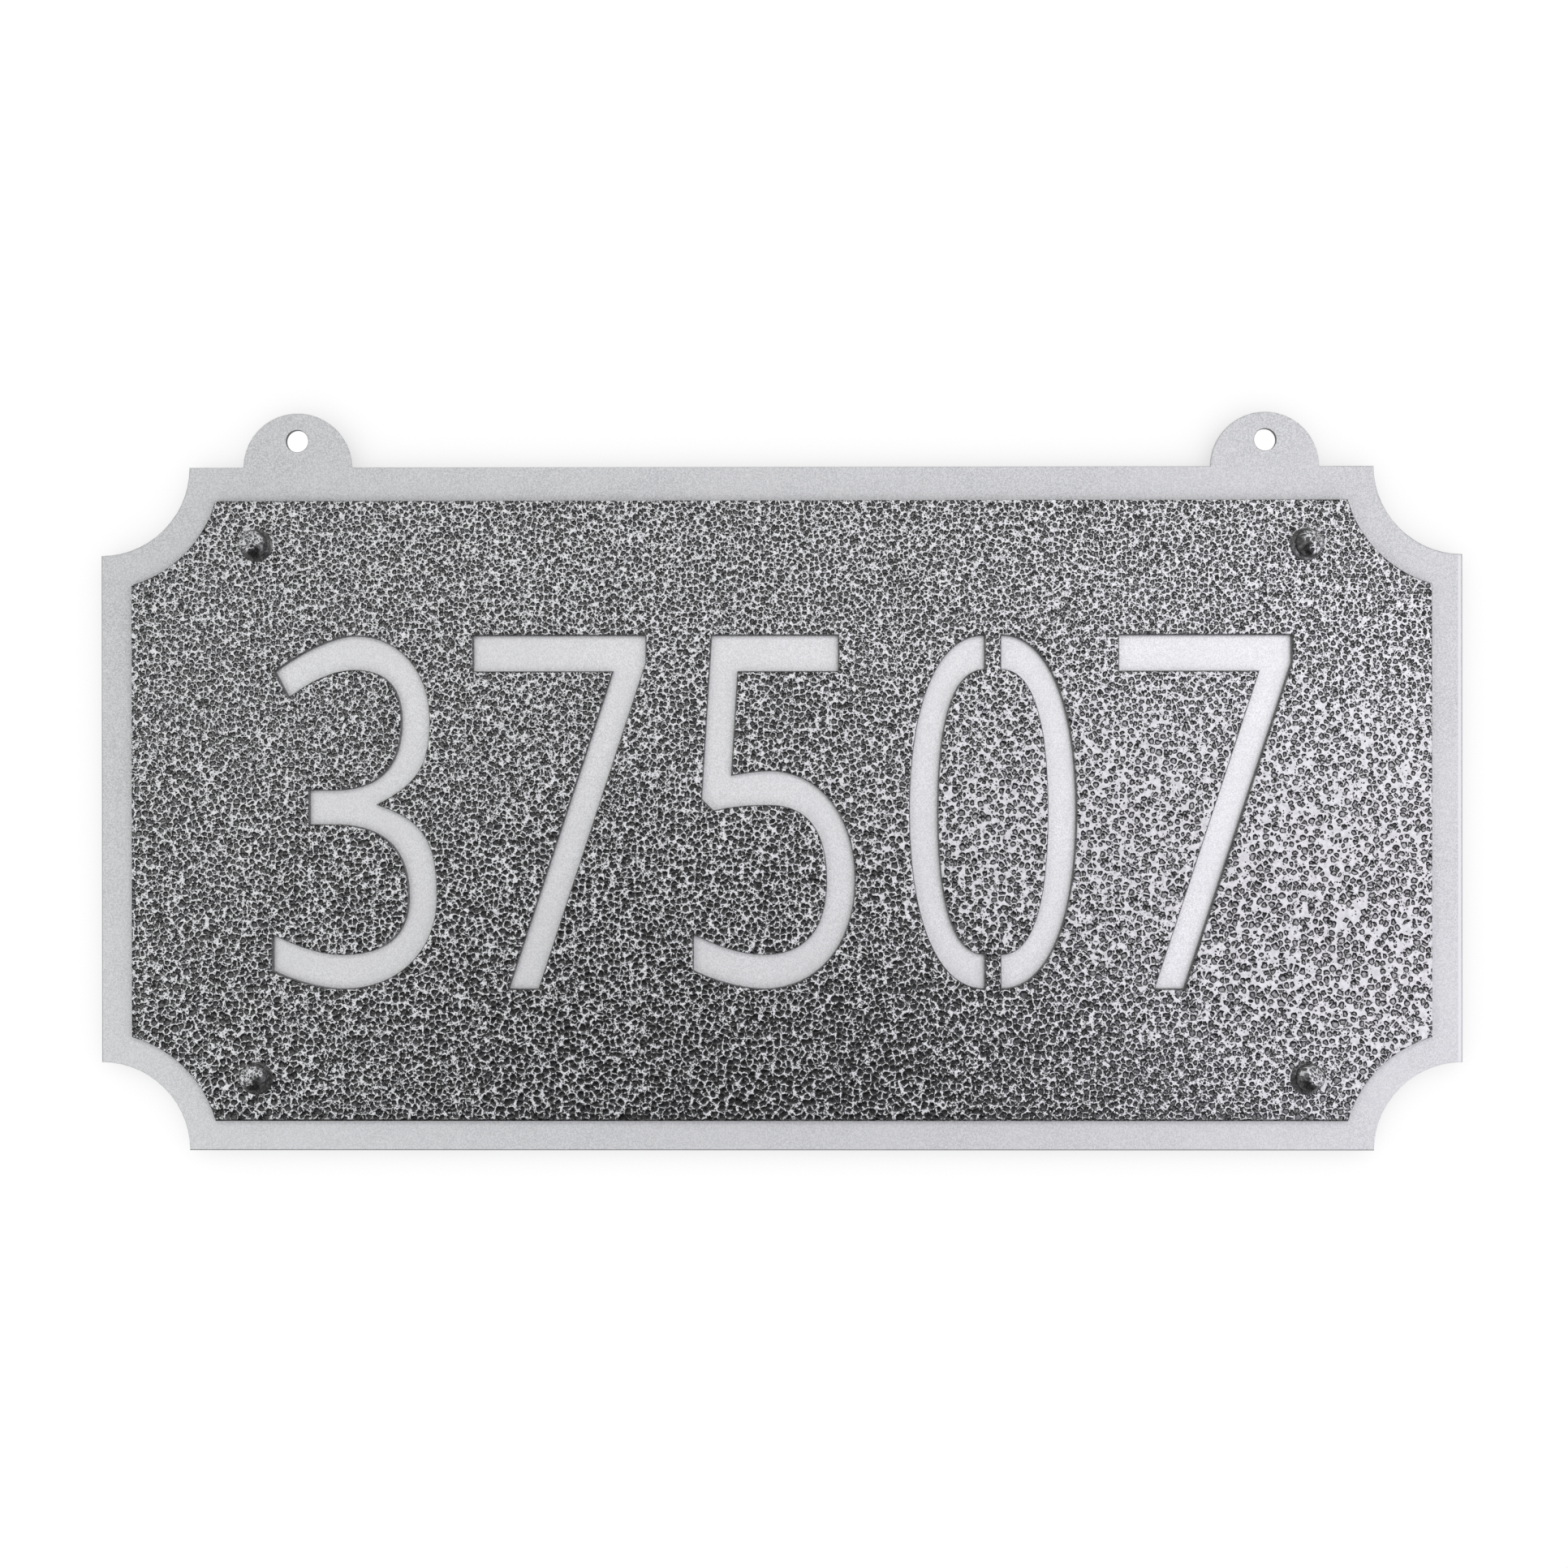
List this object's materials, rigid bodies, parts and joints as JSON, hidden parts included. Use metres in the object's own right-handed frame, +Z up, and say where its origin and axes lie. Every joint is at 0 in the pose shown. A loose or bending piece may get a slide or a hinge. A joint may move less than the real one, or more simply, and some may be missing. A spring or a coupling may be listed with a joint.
{
  "type": "house number plaque",
  "caption": "Wide sheet-metal house number plaque with scooped corners, stencil numerals cut through a riveted front plate, a pale back plate behind and hanging ears on its top edge.",
  "frame": {"origin": "midway between the two hanging holes, on the rear face of the back plate", "axes": "+X along the plaque to the viewer's right, +Z up, and the numerals face -Y"},
  "size_m": [0.406, 0.0089, 0.2202],
  "materials": {
    "pale_silver": "fine speckled satin silver coat",
    "vein_coat": "pebbled coat of pale silver veins round dark hollows"
  },
  "bodies": {
    "root": {"back_plate": "pale_silver", "front_plate": "vein_coat", "rivets": "vein_coat"}
  },
  "joints": []
}
